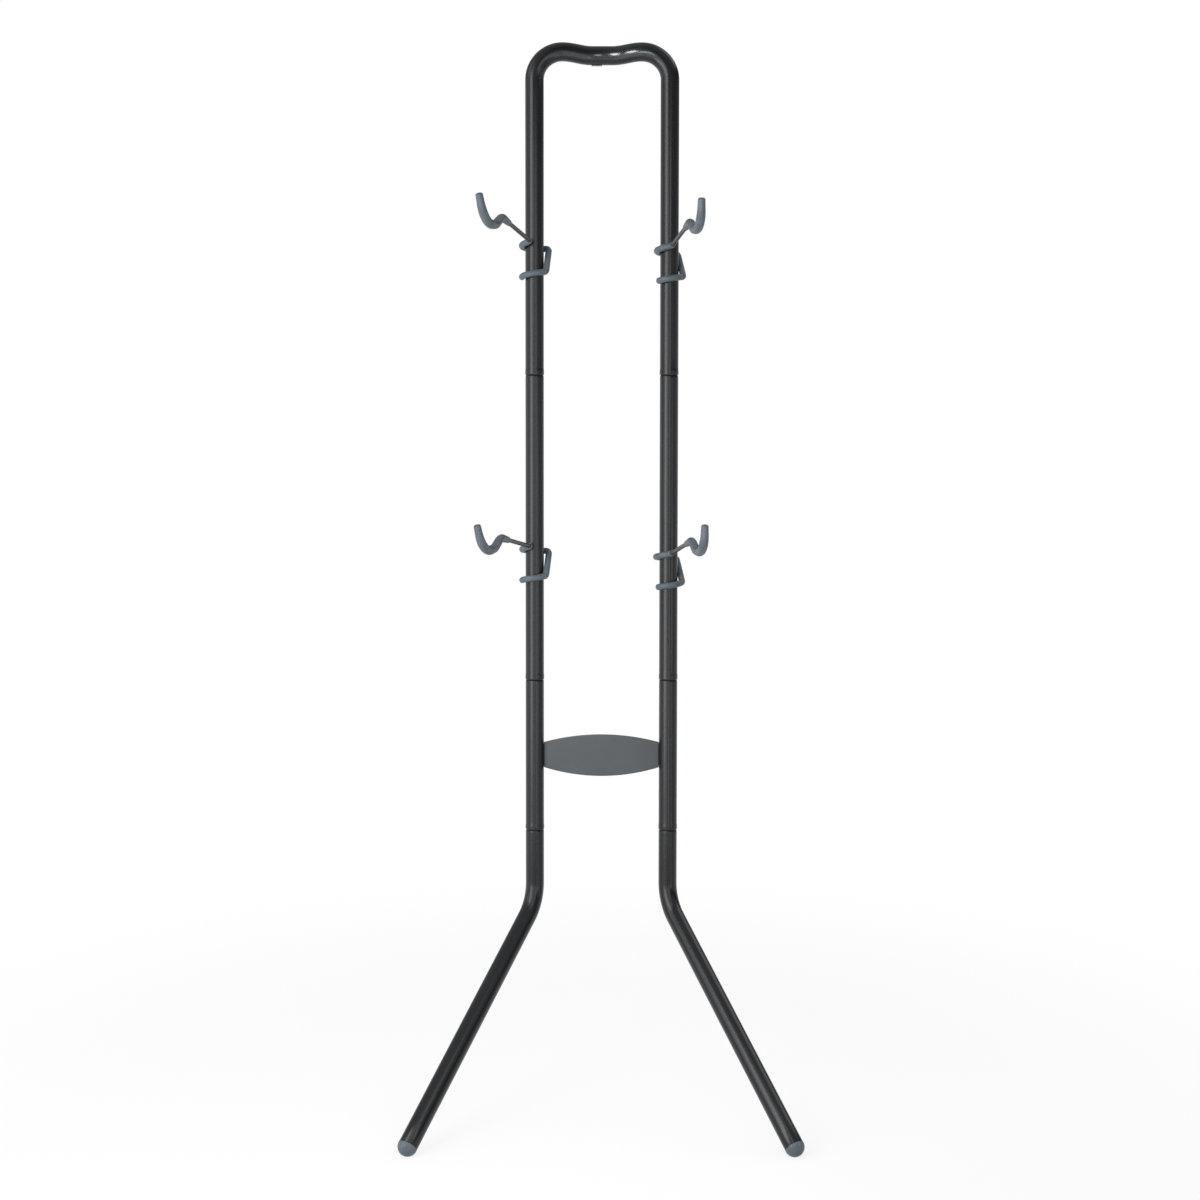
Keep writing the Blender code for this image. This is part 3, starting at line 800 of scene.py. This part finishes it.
def makeRipples():
    recipe = startShape("weldRipples", {
        "Start": "Vector", "End": "Vector", "Pitch": "Float", "Ripple Size": "Vector",
        "Segments": "Int", "Rings": "Int", "Turn Range": "Float", "Seed": "Int",
    })
    line = recipe.node("GeometryNodeCurvePrimitiveLine", {"mode": "POINTS"},
                       {"Start": answer(recipe, "Start"), "End": answer(recipe, "End")})
    spots = recipe.node("GeometryNodeCurveToPoints", {"mode": "LENGTH"},
                        {"Curve": line, "Length": answer(recipe, "Pitch")})
    ripple = recipe.node("GeometryNodeMeshUVSphere", {}, {
        "Segments": answer(recipe, "Segments"), "Rings": answer(recipe, "Rings"), "Radius": 1.0,
    })
    turn = recipe.node("FunctionNodeRandomValue", {"data_type": "FLOAT"},
                       {2: -answer(recipe, "Turn Range"), 3: answer(recipe, "Turn Range"),
                        "Seed": answer(recipe, "Seed")}, output=1)
    tilt = recipe.node("ShaderNodeCombineXYZ", {}, {"X": turn, "Y": turn * 0.5, "Z": turn})
    beads = recipe.node("GeometryNodeInstanceOnPoints", {},
                        {"Points": spots, "Instance": ripple, "Rotation": tilt,
                         "Scale": answer(recipe, "Ripple Size")})
    return endShape(recipe, beads)


def addWelds():
    ripples = makeRipples()
    clear = stock["tubeRadius"] + stock["gap"]
    near = bracePlate["thickness"] / 2 + stock["gap"]
    corner = sqrt(clear**2 - near**2)
    reach = bracePlate["endHeight"] / 2 - weldBead["setback"] - weldBead["rippleSize"][2]
    sideways, behind = weldBead["offCorner"]
    segments, rings = weldBead["rippleFaces"]
    for word, side in sides.items():
        x = -side * (corner + sideways)
        y = near + behind
        mesh = plainMesh("weld_" + word, ripples, {
            "Start": (x, y, jointThree / 2 - reach),
            "End": (x, y, jointThree / 2 + reach),
            "Pitch": weldBead["ripplePitch"],
            "Ripple Size": weldBead["rippleSize"],
            "Segments": segments,
            "Rings": rings,
            "Turn Range": weldBead["rippleTurn"],
            "Seed": weldBead["seed"] + side,
            "Finish": charcoal,
        })
        addPiece(word + "WeldBead", placed(mesh, side * halfSpacing), "stand",
                 ["plate_weld_" + word])


# Wall bumper: a saddle of rubber behind the top bar, left of its middle, with an upright pad

wallBumper = {
    "width": 0.021,
    "leftSet": 0.0112,
    "shell": 0.0016,
    "pad": 0.0045,
    "padHalfHeight": 0.010,
    "padRows": 6,
    "lowAngle": radians(-100),
    "highAngle": radians(55),
    "columns": 14,
    "step": radians(5),
    "edgeRound": 0.0008,
    "edgeAngle": radians(40),
}


def bumperMesh():
    inner = stock["tubeRadius"] + stock["gap"]
    outer = inner + wallBumper["shell"]
    padAngle = asin(wallBumper["padHalfHeight"] / outer)
    low, high = wallBumper["lowAngle"], wallBumper["highAngle"]
    count = ceil((high - low) / wallBumper["step"])
    angles = [low + (high - low) * i / count for i in range(count + 1)]

    def around(a, radius):
        return Vector((0, cos(a), sin(a))) * radius

    upright = Matrix.Rotation(lean, 3, "X")
    rows = wallBumper["padRows"]
    heights = [wallBumper["padHalfHeight"] * (2 * i / rows - 1) for i in range(rows + 1)]
    pad = [upright @ Vector((0, inner + wallBumper["pad"], z)) for z in heights]
    below = [around(a, outer) for a in angles if a < -padAngle]
    above = [around(a, outer) for a in angles if a > padAngle]
    hollow = [around(a, inner) for a in reversed(angles)]
    bm = bmesh.new()
    sections = []
    for i in range(wallBumper["columns"] + 1):
        x = wallBumper["width"] * (i / wallBumper["columns"] - 0.5) - wallBumper["leftSet"]
        bar = Vector((x, 0, barHeight(x)))
        level = Vector((x, 0, highBar - tubes["archDip"]))
        section = [point + bar for point in below] + [point + level for point in pad]
        section += [point + bar for point in above + hollow]
        sections.append([bm.verts.new(point) for point in section])
    bm.faces.new(sections[0])
    bm.faces.new(sections[-1])
    for near, far in zip(sections, sections[1:]):
        for i in range(len(near)):
            bm.faces.new((near[i - 1], near[i], far[i], far[i - 1]))
    mesh = bpy.data.meshes.new("bumper")
    bm.to_mesh(mesh)
    bm.free()
    mesh.materials.append(bumperRubber)
    return softenEdges(faceOut(mesh), wallBumper["edgeRound"], wallBumper["edgeAngle"])


def addWallBumper():
    addPiece("wallBumperPad", placed(bumperMesh()), "stand", ["wall_bumper"])


# Arms. A rod runs from the hook's tip to the upright, turns left, and winds round it twice.

arm = {
    "rodRadius": 0.0044,
    "gripRadius": 0.0065,
    "bendStep": radians(5),
    "rodSides": 32,
    "rodEnd": (0.0006, 0.86, 0.001),  # chamfer's length, its radius share, and the flat end's
    "tipStep": 0.002,
    "sleeveSides": 40,
    "sleeveClear": 0.0003,  # round the rod
    "sleevePast": 0.0022,  # past the rod's tip, most of it solid
    "sleeveSolid": 0.0019,
    "hookMouth": (0.0016, 0.0040),  # length of the rolled mouth, length of the rounded end
    "gripMouth": (0.0014, 0.0036),
    # hook corners: reach from the upright's axis, height over the upper loop's side, bend radius
    "tip": (0.3135, 0.0642),
    "tipLeftSet": 0.0035,
    "cradleOuter": (0.2927, 0.009, 0.054),
    "cradleInner": (0.2307, 0.0168, 0.033),
    "hump": (0.1977, 0.0353, 0.0345),
    "sleeveStart": 0.1565,
    # hook sleeve's radius, from its mouth on the shank to the tip
    "hookSizes": [(0.0, 0.0065), (0.2, 0.0082), (0.5, 0.0091), (0.75, 0.0090), (1.0, 0.0072)],
    "entryHeight": 0.0097,
    "entryRadius": 0.009,
    "upperDrop": 0.0114,
    "linkDrop": 0.0508,
    "linkTurn": radians(8.4),
    "linkForward": 0.008,
    "linkRadius": 0.008,
    "lowerSlope": 0.146,
    "lowerEnd": radians(-160),
}

armSettings = {
    # side, height over the joint below, swivel from straight ahead, spring upwards
    "upper_left": ("left", jointOne + 0.2630, radians(-17.1), radians(-0.2)),
    "upper_right": ("right", jointOne + 0.2545, radians(9.8), radians(-0.6)),
    "lower_left": ("left", 0.2690, radians(-18.0), radians(-1.7)),
    "lower_right": ("right", 0.2555, radians(11.5), radians(1.2)),
}
loopRadius = stock["tubeRadius"] + arm["gripRadius"] + stock["gap"]
entryReach = sqrt((loopRadius + arm["entryRadius"]) ** 2 - arm["entryRadius"] ** 2)


def hookPath(rise):
    # Tip, cradle, hump and shank, up to where the shank starts to turn round the upright
    entry = Vector((entryReach, arm["entryHeight"]))
    spring = Matrix.Rotation(rise, 2)
    corners = []
    for row in ((*arm["tip"], 0), arm["cradleOuter"], arm["cradleInner"], arm["hump"]):
        spot = entry + spring @ (Vector(row[:2]) - entry)
        corners.append((Vector((0, -spot.x, spot.y)), row[2]))
    corners[0][0].x = -arm["tipLeftSet"]
    corners.append((Vector((0, -entryReach, arm["entryHeight"])), 0))
    return roundCorners(corners, arm["bendStep"])


def upperLoop():
    meet = asin(arm["entryRadius"] / (loopRadius + arm["entryRadius"]))
    entryTurn = pi / 2 - meet
    loopTurn = pi - meet
    entryLength = arm["entryRadius"] * entryTurn
    total = entryLength + loopRadius * loopTurn
    plan = []
    count = ceil(entryTurn / arm["bendStep"])
    for i in range(count):
        a = entryTurn * i / count
        plan.append((arm["entryRadius"] * a, arm["entryRadius"] * (cos(a) - 1),
                     arm["entryRadius"] * sin(a) - entryReach))
    count = ceil(loopTurn / arm["bendStep"])
    for i in range(count + 1):
        turned = loopTurn * i / count
        a = -pi / 2 - meet - turned
        plan.append((entryLength + loopRadius * turned, cos(a) * loopRadius, sin(a) * loopRadius))
    points = []
    for along, x, y in plan:
        left = 1 - along / total
        points.append(Vector((x, y, arm["entryHeight"] - arm["upperDrop"] * (1 - left**2))))
    return points


def lowerLoop(back):
    # Link down the upright's right side from its back, then round its front
    line = loopRadius + stock["gap"]
    turn = arm["linkTurn"]
    head = Vector(((line - loopRadius * sin(turn)) / cos(turn), loopRadius, back.z))
    foot = Vector(((line + arm["linkForward"] * sin(turn)) / cos(turn), -arm["linkForward"],
                   back.z - arm["linkDrop"]))
    away = foot.xy.length
    meet = atan2(foot.y, foot.x) - acos(loopRadius / away)
    run = sqrt(away**2 - loopRadius**2)
    touch = Vector((cos(meet) * loopRadius, sin(meet) * loopRadius, foot.z - arm["lowerSlope"] * run))
    link = roundCorners([(back, 0), (head, arm["linkRadius"]), (foot, arm["linkRadius"]), (touch, 0)],
                        arm["bendStep"])
    wind = meet - arm["lowerEnd"]
    count = ceil(wind / arm["bendStep"])
    loop = []
    for i in range(1, count + 1):
        a = meet - wind * i / count
        height = touch.z - arm["lowerSlope"] * loopRadius * (meet - a)
        loop.append(Vector((loopRadius * cos(a), loopRadius * sin(a), height)))
    return link[1:] + loop


# Rings along a sleeve, as shares of the mouth's length and of the rounded end's
sleeveRings = {
    "mouth": (0.04, 0.12, 0.25, 0.45, 0.7, 1.0, 1.5, 2.2),
    "end": (0.01, 0.04, 0.1, 0.2, 0.33, 0.5, 0.7, 1.0),
    "boreFace": 0.0001,
}


def sleeveSkin(points, sizes, bore, mouth, end):
    # Radii along a sleeve: rolled over at its open mouth, rounded off at its closed end.
    # Points run from the mouth; sizes are (share of the length, radius) rows.
    total = lengthsAlong(points)[-1]
    marks = [mouth * share for share in sleeveRings["mouth"]]
    marks += [total - end * share for share in sleeveRings["end"]]
    points, places = withMarks(points, marks)
    radii = []
    for place in places:
        size = between(place / total, sizes)
        opening = min(1.0, place / mouth)
        closing = min(1.0, (total - place) / end)
        roll = bore + (size - bore) * sqrt(1 - (1 - opening) ** 2)
        radii.append(max(roll * sqrt(1 - (1 - closing) ** 3), stock["pole"]))
    return points, radii


def sleeveBore(points, bore):
    # The rod's hole in a sleeve, flat at its end
    stop = lengthsAlong(points)[-1] - arm["sleeveSolid"]
    last = stop + sleeveRings["boreFace"]
    points, places = withMarks(points, [stop, last])
    kept = [point for point, place in zip(points, places) if place < last + stock["leastStep"] / 2]
    return kept, [bore] * (len(kept) - 1) + [stock["pole"]]


def sleeveMesh(name, points, sizes, mouthAndEnd):
    # Points run from the sleeve's mouth to the rod's tip. The sleeve goes a little past it.
    onward = (points[-1] - points[-2]).normalized() * arm["sleevePast"]
    points = points + [points[-1] + onward]
    bore = arm["rodRadius"] + arm["sleeveClear"]
    skin = sleeveSkin(points, sizes, bore, *mouthAndEnd)
    return sweptMesh(name, vinyl, arm["sleeveSides"], skin, sleeveBore(points, bore))


def rodMesh(name, points):
    chamfer, share, flat = arm["rodEnd"]
    total = lengthsAlong(points)[-1]
    points, places = withMarks(points, [chamfer, arm["tipStep"], total - chamfer])
    shares = [min(1.0, share + (1 - share) * min(place, total - place) / chamfer) for place in places]
    shares[0] = shares[-1] = flat
    radii = [arm["rodRadius"] * each for each in shares]
    return sweptMesh(name, darkRod, arm["rodSides"], (points, radii))


def hookSleevePoints(hook):
    # From the sleeve's mouth on the shank, out to the rod's tip
    outward = [point for point in hook if -point.y > arm["sleeveStart"]]
    shank = (hook[-1] - hook[-2]).normalized()
    mouth = hook[-2] + shank * ((-arm["sleeveStart"] - hook[-2].y) / shank.y)
    return [mouth] + outward[::-1]


def addArms():
    gripSizes = [(0.0, arm["gripRadius"]), (1.0, arm["gripRadius"])]
    for name, (word, height, swivel, rise) in armSettings.items():
        hook = hookPath(rise)
        loops = upperLoop()
        loops += lowerLoop(loops[-1])
        spin = Matrix.Translation((0, 0, height)) @ Matrix.Rotation(swivel, 4, "Z")
        short = name.replace("_l", "L").replace("_r", "R")
        for part, mesh, slot, node in (
            ("Rod", rodMesh(name + "_rod", hook + loops[1:]), "rod_steel", "_arm_rod"),
            ("HookSleeve", sleeveMesh(name + "_hook", hookSleevePoints(hook), arm["hookSizes"],
                                      arm["hookMouth"]), "blue_grey_rubber", "_hook_sleeve"),
            ("GripSleeve", sleeveMesh(name + "_grip", loops, gripSizes, arm["gripMouth"]),
             "blue_grey_rubber", "_grip_sleeve"),
        ):
            addPiece(short + part, placed(mesh, sides[word] * halfSpacing, spin), name + "_arm",
                     [name + node])


# Materials in use

charcoal = makePowderCoat("charcoalCoat", powderCoat)
plateGrey = makePlatePaint("plateGrey", platePaint)
darkRod = makeRodSteel("darkRod", rodSteel)
vinyl = makeVinyl("sleeveVinyl", sleeveVinyl)
capRubber = makeVinyl("capRubber", footRubber)
bumperRubber = makeVinyl("bumperRubber", padRubber)
print("materials ready:", len(bpy.data.materials))

addTubes()
print("tubes swept")
addFootCaps()
addBracePlate()
addWelds()
addWallBumper()
print("caps, plate, welds and bumper made")
addArms()
print("arms made")


# Stage, light and camera

studio = {
    "cameraHeight": 1.458,
    "cameraDistance": 4.07,
    "cameraX": -0.0033,
    "pitch": radians(-6.2),
    "roll": radians(0.07),
    "lensMm": 58.8,
    "sensorMm": 36,
    "floorSize": 4.6,
    "floorDrop": 0.0002,
    "floorGrey": 0.75,
    "floorGlow": 0.84,
    "shadowReach": (0.7, 2.0),
    # the room's levels of light, above and below eye level. Heights are in degrees, and the other
    # pairs are shares to the right and to the back.
    "frontWall": (0.04, 0.50),
    "leftWall": (0.55, 0.85),
    "rightWall": (0.03, 0.42),
    "eyeLevel": (13, 3),
    "leftWallFrom": (-0.3, -0.9),
    "rightWallFrom": (0.85, 1.0),
    "ceiling": 0.55,
    "ceilingFrom": (20, 34),
    "topFill": 0.25,  # more soft light from above, on dull surfaces alone
    "topFillFrom": (10, 60),
    "darkGap": 0.05,  # straight in front, behind the panels and over them
    "gapHalfWidth": (0.30, 0.12),
    "gapFoot": (-10, -2),
    "gapTop": (70, 62),
    "gapFront": (0, -0.1),
    "backdropFrom": (-0.1, 0.75),
    "backdropFade": (14, -8),  # heights between which the white backdrop comes in
    "stripBlur": 3,
}

# Strips of light on the far wall. Bearings are from straight in front, right is positive, in degrees.
wallStrips = {
    "upperStrip": {"bearing": 12, "reach": 14, "level": 0.9, "low": 6.5, "high": 15},
    "lowerStrip": {"bearing": 42, "reach": 19, "level": 3.6, "low": -4.5, "high": 3},
    "leftBank": {"bearing": -76, "reach": 24, "level": 2.2, "low": 16, "high": 38},
    "rimLight": {"bearing": 118, "reach": 34, "level": 1.5, "low": 28, "high": 62},
}

# A softbox stands at the left front. Two panels in front light the uprights' middles. They end at
# the top bar's height, with a gap between them, so that the bar stays dark.
panels = {
    "softbox": {"place": (-1.40, -1.42, 1.60), "size": (1.08, 2.50), "watts": 40},
    "leftPanel": {"place": (-0.27, -0.95, 1.28), "size": (0.37, 1.88), "watts": 4.5},
    "rightPanel": {"place": (0.27, -0.95, 1.30), "size": (0.37, 1.84), "watts": 4.8},
}
panelAim = (0, 0.2, 1.25)

# Small panels close to the top bar give it its glints: (place along the bar, height of the glint
# over the bar's centreline, panel's width, panel's height, watts).
glints = [
    (-0.0290, -0.0077, 0.010, 0.010, 0.0010),
    (-0.0086, -0.0028, 0.013, 0.012, 0.0046),
    (0.0260, -0.0013, 0.018, 0.018, 0.028),
    (0.0610, -0.0017, 0.022, 0.016, 0.028),
    (0.0880, -0.0041, 0.030, 0.012, 0.0085),
]
glintAway = 0.035


def addFloor():
    mesh = bpy.data.meshes.new("floor")
    half = studio["floorSize"] / 2
    corners = [(x * half, y * half, -studio["floorDrop"]) for x, y in ((-1, -1), (1, -1), (1, 1), (-1, 1))]
    mesh.from_pydata(corners, [], [(0, 1, 2, 3)])
    material, recipe, where = startMaterial("paleFloor")
    away = recipe.node("ShaderNodeVectorMath", {"operation": "LENGTH"}, {0: where}, output=1)
    camera, glossy, through = (recipe.node("ShaderNodeLightPath", output=i) for i in (0, 3, 6))
    lit = recipe.node("ShaderNodeBsdfDiffuse", {}, {"Color": (studio["floorGrey"],) * 3})
    white = recipe.node("ShaderNodeEmission", {}, {"Color": (1.0, 1.0, 1.0), "Strength": 1.0})
    far = recipe.smooth(away, *studio["shadowReach"])
    glow = studio["floorGlow"] + far * (1 - studio["floorGlow"])
    mixed = recipe.node("ShaderNodeMixShader", {}, {0: (camera + glossy + through) * glow, 1: lit, 2: white})
    recipe.node("ShaderNodeOutputMaterial", {}, {"Surface": mixed})
    mesh.materials.append(material)
    floor = addObject("floor", mesh)


def setWorld():
    world = bpy.data.worlds.new("studio")
    bpy.context.scene.world = world
    world.use_nodes = True
    world.node_tree.nodes.clear()
    recipe = Recipe(world.node_tree)
    x, y, z = recipe.split(recipe.node("ShaderNodeTexCoord"))
    bearing = x.maths("ARCTAN2", x, -y) * degrees(1)
    height = z.maths("ARCSINE", z) * degrees(1)

    low = recipe.smooth(height, *studio["eyeLevel"])
    walls = {}
    for name in ("frontWall", "leftWall", "rightWall"):
        above, below = studio[name]
        walls[name] = above + low * (below - above)
    level = walls["frontWall"] + recipe.smooth(x, *studio["leftWallFrom"]) * walls["leftWall"]
    level = level + recipe.smooth(x, *studio["rightWallFrom"]) * walls["rightWall"]
    level = level + recipe.smooth(height, *studio["ceilingFrom"]) * (studio["ceiling"] - level)
    gap = recipe.smooth(x.maths("ABSOLUTE", x), *studio["gapHalfWidth"])
    gap = gap * recipe.smooth(height, *studio["gapFoot"]) * recipe.smooth(height, *studio["gapTop"])
    gap = gap * recipe.smooth(y, *studio["gapFront"])
    level = level + gap * (studio["darkGap"] - level)
    strips = 0
    blur = studio["stripBlur"]
    for strip in wallStrips.values():
        off = bearing.maths("ABSOLUTE", bearing - strip["bearing"])
        tall = recipe.smooth(height, strip["low"] - blur, strip["low"] + blur)
        tall = tall * recipe.smooth(height, strip["high"] + blur, strip["high"] - blur)
        strips = strips + recipe.smooth(off, strip["reach"], 0) * tall * strip["level"]
    camera, diffuse, glossy, through = (recipe.node("ShaderNodeLightPath", output=i)
                                        for i in (0, 2, 3, 6))
    # the backdrop behind the stand is white in its gloss too, and the studio stands before it
    backdrop = recipe.smooth(y, *studio["backdropFrom"])
    backdrop = backdrop * recipe.smooth(height, *studio["backdropFade"])
    white = camera + through + (glossy + diffuse) * backdrop
    level = level + white * (1 - level) + (glossy + diffuse) * strips
    level = level + diffuse * recipe.smooth(height, *studio["topFillFrom"]) * studio["topFill"]
    glow = recipe.node("ShaderNodeBackground", {}, {"Color": (1.0, 1.0, 1.0), "Strength": level})
    recipe.node("ShaderNodeOutputWorld", {}, {"Surface": glow})


def addLamp(name, shape, size, watts, place, aim):
    light = bpy.data.lights.new(name, "AREA")
    light.shape = shape
    light.size, light.size_y = size
    light.energy = watts
    lamp = addObject(name, light)
    lamp.location = place
    lamp.rotation_euler = (Vector(aim) - Vector(place)).to_track_quat("-Z", "Y").to_euler()
    lamp.visible_camera = False


def addLamps():
    for name, panel in panels.items():
        addLamp(name, "RECTANGLE", panel["size"], panel["watts"], panel["place"], panelAim)
    for i, (x, lift, width, tall, watts) in enumerate(glints, 1):
        # the lamp stands where the camera sees it mirrored in the glint's spot
        turn = asin(lift / stock["tubeRadius"])
        spot = fromUpright @ Vector((x, -cos(turn) * stock["tubeRadius"], barHeight(x) + lift))
        up = 2 * (turn + lean) + atan2(spot.z - studio["cameraHeight"], studio["cameraDistance"])
        place = spot + Vector((0, -cos(up), sin(up))) * glintAway
        addLamp("glint_" + str(i), "ELLIPSE", (width, tall), watts, place, spot)


def addCamera():
    data = bpy.data.cameras.new("camera")
    data.lens = studio["lensMm"]
    data.sensor_width = studio["sensorMm"]
    camera = addObject("camera", data)
    tubeY = swivelPlace.y + (studio["cameraHeight"] - swivelPlace.z) * tan(lean)
    camera.location = (studio["cameraX"], tubeY - studio["cameraDistance"], studio["cameraHeight"])
    turn = Matrix.Rotation(pi / 2 + studio["pitch"], 3, "X") @ Matrix.Rotation(studio["roll"], 3, "Z")
    camera.rotation_euler = turn.to_euler()
    bpy.context.scene.camera = camera


bpy.context.scene.view_settings.view_transform = "Standard"
addFloor()
setWorld()
addLamps()
addCamera()
print("stage and camera set")
